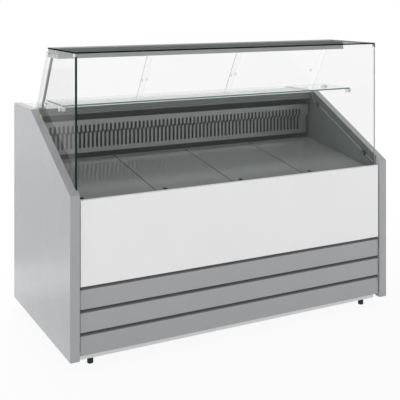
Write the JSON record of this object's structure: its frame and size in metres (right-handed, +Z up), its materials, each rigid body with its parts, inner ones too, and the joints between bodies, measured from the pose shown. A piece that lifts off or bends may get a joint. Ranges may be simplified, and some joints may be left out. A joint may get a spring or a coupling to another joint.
{
  "type": "refrigerated display case",
  "caption": "Refrigerated serve-over counter with a straight glass front, glass shelf, sloped steel deck, slotted air grille and sliding rear doors over a slatted base.",
  "frame": {"origin": "on the floor, under the middle of the case", "axes": "+X along the case to the customer's right, +Y from the customer to the server, +Z up"},
  "size_m": [1.57, 0.81, 1.242],
  "materials": {
    "end_panel": "satin",
    "frame_paint": "semi-gloss",
    "white_panel": "semi-gloss",
    "slat_paint": "satin",
    "plinth_paint": "satin",
    "foot": "matt",
    "lining_steel": "satin",
    "deck_steel": "brushed",
    "grille_steel": "satin",
    "coil": "bare",
    "fan_plastic": "matt",
    "motor": "satin",
    "worktop": "laminate faced",
    "profile": "anodised",
    "rear_paint": "satin",
    "control_plastic": "matt",
    "key_plastic": "gloss",
    "compressor": "gloss",
    "copper": "bare",
    "post": "brushed",
    "canopy": "satin",
    "lamp": "opal",
    "glass": "clear",
    "door_glass": "clear",
    "bracket": "satin",
    "track": "satin",
    "grip": "clear"
  },
  "bodies": {
    "case": {"end_panel_left": "end_panel", "end_panel_right": "end_panel", "base_frame": "frame_paint", "unit_tray": "lining_steel", "plinth_strip": "plinth_paint", "front_panel": "white_panel", "slat_upper": "slat_paint", "slat_middle": "slat_paint", "slat_lower": "slat_paint", "insulated_tub": "lining_steel", "deck_rails": "lining_steel", "air_grille": "grille_steel", "fan_plate": "lining_steel", "evaporator": "coil", "evaporator_fan_motors": "motor", "worktop": "worktop", "worktop_profile": "profile", "rear_panel": "rear_paint", "service_grille": "rear_paint", "cable_gland": "control_plastic", "control_box": "rear_paint", "controller": "control_plastic", "compressor": "compressor", "condenser": "coil", "condenser_cowl": "motor", "refrigerant_pipes": "copper", "glazing_posts": "post", "canopy": "canopy", "lamp": "lamp", "front_glass": "glass", "top_glass": "glass", "side_glass_left": "glass", "side_glass_right": "glass", "glass_brackets": "bracket", "glass_shelf": "glass", "shelf_clamps": "bracket", "lower_door_track": "track", "upper_door_track": "track"},
    "door_left": {"door_left": "door_glass", "door_left_grips": "grip"},
    "door_middle": {"door_middle": "door_glass", "door_middle_grips": "grip"},
    "door_right": {"door_right": "door_glass", "door_right_grips": "grip"},
    "foot_front_left": {"foot_front_left": "foot"},
    "foot_front_right": {"foot_front_right": "foot"},
    "foot_rear_left": {"foot_rear_left": "foot"},
    "foot_rear_right": {"foot_rear_right": "foot"},
    "evaporator_fan_left": {"evaporator_fan_left": "fan_plastic"},
    "evaporator_fan_right": {"evaporator_fan_right": "fan_plastic"},
    "condenser_fan": {"condenser_fan": "fan_plastic"},
    "power_switch": {"power_switch": "key_plastic"},
    "light_switch": {"light_switch": "key_plastic"},
    "button_up": {"button_up": "key_plastic"},
    "button_set": {"button_set": "key_plastic"},
    "button_down": {"button_down": "key_plastic"},
    "deck_panel_1": {"deck_panel_1": "deck_steel"},
    "deck_panel_2": {"deck_panel_2": "deck_steel"},
    "deck_panel_3": {"deck_panel_3": "deck_steel"},
    "deck_panel_4": {"deck_panel_4": "deck_steel"}
  },
  "joints": [
    {"name": "door_left_slide", "type": "slide", "parent": "case", "child": "door_left", "axis": [1, 0, 0], "range_m": [0, 0.9773]},
    {"name": "door_middle_slide", "type": "slide", "parent": "case", "child": "door_middle", "axis": [1, 0, 0], "range_m": [-0.48865, 0.48865]},
    {"name": "door_right_slide", "type": "slide", "parent": "case", "child": "door_right", "axis": [1, 0, 0], "range_m": [-0.9773, 0]},
    {"name": "deck_panel_1_lift", "type": "slide", "parent": "case", "child": "deck_panel_1", "axis": [0, 0, 1], "range_m": [0, 0.035]},
    {"name": "deck_panel_2_lift", "type": "slide", "parent": "case", "child": "deck_panel_2", "axis": [0, 0, 1], "range_m": [0, 0.035]},
    {"name": "deck_panel_3_lift", "type": "slide", "parent": "case", "child": "deck_panel_3", "axis": [0, 0, 1], "range_m": [0, 0.035]},
    {"name": "deck_panel_4_lift", "type": "slide", "parent": "case", "child": "deck_panel_4", "axis": [0, 0, 1], "range_m": [0, 0.035]},
    {"name": "foot_front_left_turn", "type": "hinge", "parent": "case", "child": "foot_front_left", "pos_m": [-0.68, -0.344, 0.03], "axis": [0, 0, 1], "continuous": true},
    {"name": "foot_front_right_turn", "type": "hinge", "parent": "case", "child": "foot_front_right", "pos_m": [0.68, -0.344, 0.03], "axis": [0, 0, 1], "continuous": true},
    {"name": "foot_rear_left_turn", "type": "hinge", "parent": "case", "child": "foot_rear_left", "pos_m": [-0.68, 0.327, 0.03], "axis": [0, 0, 1], "continuous": true},
    {"name": "foot_rear_right_turn", "type": "hinge", "parent": "case", "child": "foot_rear_right", "pos_m": [0.68, 0.327, 0.03], "axis": [0, 0, 1], "continuous": true},
    {"name": "evaporator_fan_left_spin", "type": "hinge", "parent": "case", "child": "evaporator_fan_left", "pos_m": [-0.23, 0.011, 0.582], "axis": [0, 1, 0], "continuous": true},
    {"name": "evaporator_fan_right_spin", "type": "hinge", "parent": "case", "child": "evaporator_fan_right", "pos_m": [0.23, 0.011, 0.582], "axis": [0, 1, 0], "continuous": true},
    {"name": "condenser_fan_spin", "type": "hinge", "parent": "case", "child": "condenser_fan", "pos_m": [0, 0.151, 0.2505], "axis": [0, 1, 0], "continuous": true},
    {"name": "power_switch_rock", "type": "hinge", "parent": "case", "child": "power_switch", "pos_m": [0.545, 0.3835, 0.882], "axis": [1, 0, 0], "range_deg": [-7, 7]},
    {"name": "light_switch_rock", "type": "hinge", "parent": "case", "child": "light_switch", "pos_m": [0.615, 0.3835, 0.882], "axis": [1, 0, 0], "range_deg": [-7, 7]},
    {"name": "button_up_press", "type": "slide", "parent": "case", "child": "button_up", "axis": [0, -1, 0], "range_m": [0, 0.0008], "stiffness_N_per_m": 2500},
    {"name": "button_set_press", "type": "slide", "parent": "case", "child": "button_set", "axis": [0, -1, 0], "range_m": [0, 0.0008], "stiffness_N_per_m": 2500},
    {"name": "button_down_press", "type": "slide", "parent": "case", "child": "button_down", "axis": [0, -1, 0], "range_m": [0, 0.0008], "stiffness_N_per_m": 2500}
  ]
}
